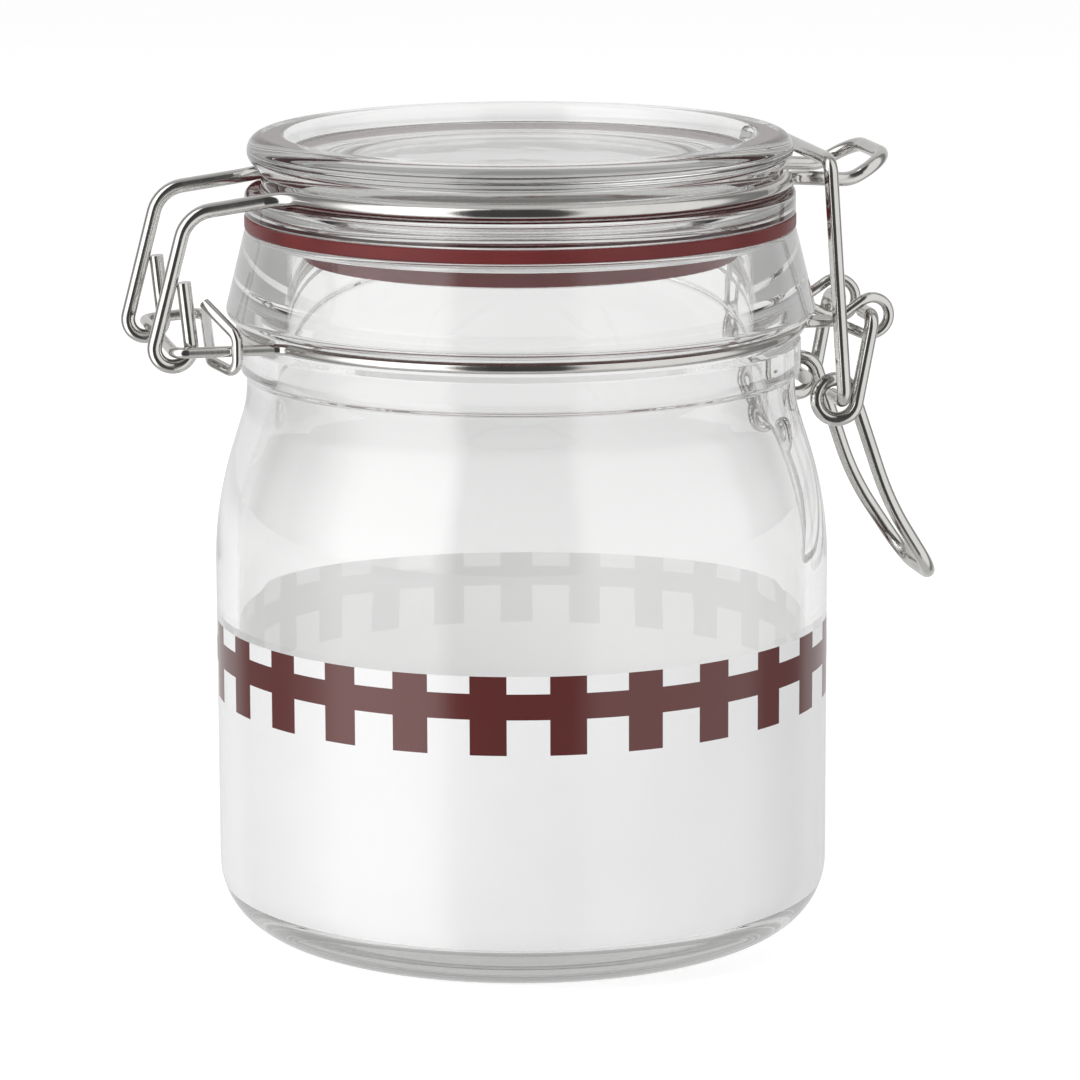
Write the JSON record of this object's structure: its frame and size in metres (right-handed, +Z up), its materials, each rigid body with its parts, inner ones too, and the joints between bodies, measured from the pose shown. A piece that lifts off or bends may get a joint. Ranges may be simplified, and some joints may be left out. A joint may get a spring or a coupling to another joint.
{
  "type": "lidded glass canister",
  "caption": "Clip-top glass storage jar with a hinged glass lid, rubber sealing ring and over-centre wire latch; printed band round a white-coated lower half.",
  "frame": {"origin": "centre of the standing ring under the jar", "axes": "+Z up along the jar's axis, -X towards the lid's hinge, +X towards the lever"},
  "size_m": [0.1427, 0.108, 0.1413],
  "materials": {
    "jar_glass": "clear",
    "lid_glass": "clear",
    "rubber": "satin",
    "steel_wire": "polished"
  },
  "bodies": {
    "jar": {"jar": "jar_glass", "neck_wire": "steel_wire"},
    "lid": {"lid": "lid_glass", "gasket": "rubber", "lid_wire": "steel_wire"},
    "lever": {"lever": "steel_wire"},
    "link": {"link": "steel_wire"}
  },
  "joints": [
    {"name": "lid_hinge", "type": "hinge", "parent": "jar", "child": "lid", "pos_m": [-0.0639, 0, 0.1076], "axis": [0, -1, 0], "range_deg": [0, 105]},
    {"name": "lever_pivot", "type": "hinge", "parent": "jar", "child": "lever", "pos_m": [0.06005, 0, 0.10865], "axis": [0, -1, 0], "range_deg": [0, 120]},
    {"name": "link_pivot", "type": "hinge", "parent": "lever", "child": "link", "pos_m": [0.05425, 0, 0.09415], "axis": [0, -1, 0], "range_deg": [-100, 0]}
  ],
  "couplings": [
    {"joint": "link_pivot", "follows": "lever_pivot", "ratio": -0.831}
  ]
}
